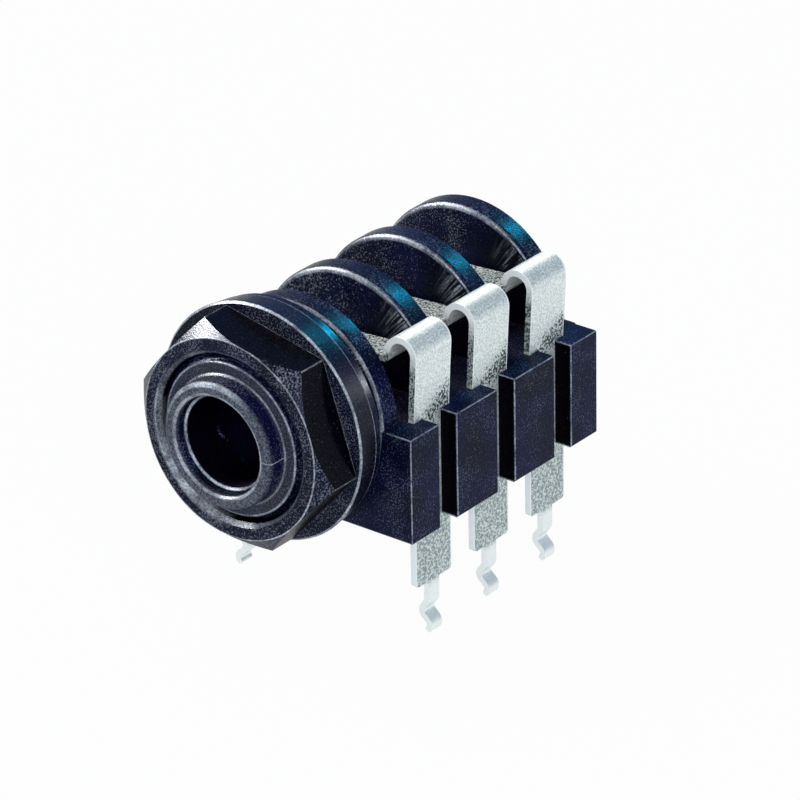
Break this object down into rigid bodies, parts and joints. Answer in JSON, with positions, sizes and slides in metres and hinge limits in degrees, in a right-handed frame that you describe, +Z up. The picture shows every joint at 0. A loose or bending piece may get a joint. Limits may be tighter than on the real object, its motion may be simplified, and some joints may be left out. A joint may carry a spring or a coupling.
{
  "type": "audio jack socket",
  "caption": "Board-mounted 6.35 mm audio jack socket: threaded bush with flanged hex nut, round guide discs, hairpin spring contacts and kinked solder pins.",
  "frame": {"origin": "on the plug bore's axis, in the front face of the round flange that seats on the panel", "axes": "-Y along the bore towards the plug, +Y into the equipment, +X towards the spring contacts, +Z up, away from the board"},
  "size_m": [0.0196, 0.0289, 0.0248],
  "materials": {
    "black_plastic": "moulded, satin, finely speckled",
    "nut_plastic": "moulded, satin",
    "contact_strip": "silver plated, satin"
  },
  "bodies": {
    "socket": {"housing": "black_plastic", "spring_contact_sleeve": "contact_strip", "spring_contact_ring": "contact_strip", "spring_contact_tip": "contact_strip", "switch_contact_sleeve": "contact_strip", "switch_contact_ring": "contact_strip", "switch_contact_tip": "contact_strip"},
    "washer": {"washer": "nut_plastic"},
    "nut": {"hex_nut": "nut_plastic"}
  },
  "joints": [
    {"name": "washer_slide", "type": "slide", "parent": "socket", "child": "washer", "axis": [0, 1, 0], "range_m": [0, 0.00104]},
    {"name": "nut_spin", "type": "hinge", "parent": "socket", "child": "nut", "pos_m": [0, -0.0043, 0], "axis": [0, 1, 0], "range_deg": [-360, 374]}
  ]
}
